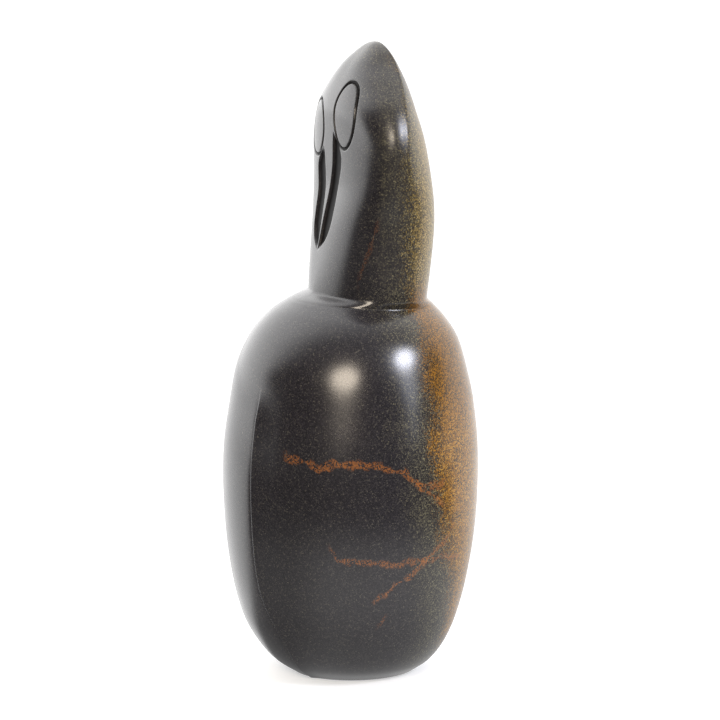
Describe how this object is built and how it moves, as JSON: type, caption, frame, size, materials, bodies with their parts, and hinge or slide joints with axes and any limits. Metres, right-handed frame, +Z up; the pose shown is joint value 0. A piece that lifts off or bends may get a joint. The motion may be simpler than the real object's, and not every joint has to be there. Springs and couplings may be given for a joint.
{
  "type": "soapstone bird carving",
  "caption": "Polished soapstone bird carved from one block, with ring eyes, a beak between two channels and a lapping wing edge, standing on its flat underside.",
  "frame": {"origin": "on the floor, under the middle of the carving's box", "axes": "+Z up; the bird's face and breast look towards -Y; its left side is on +X"},
  "size_m": [0.0984, 0.097, 0.24],
  "materials": {
    "polished_soapstone": "polished"
  },
  "bodies": {
    "root": {"bird_carving": "polished_soapstone"}
  },
  "joints": []
}
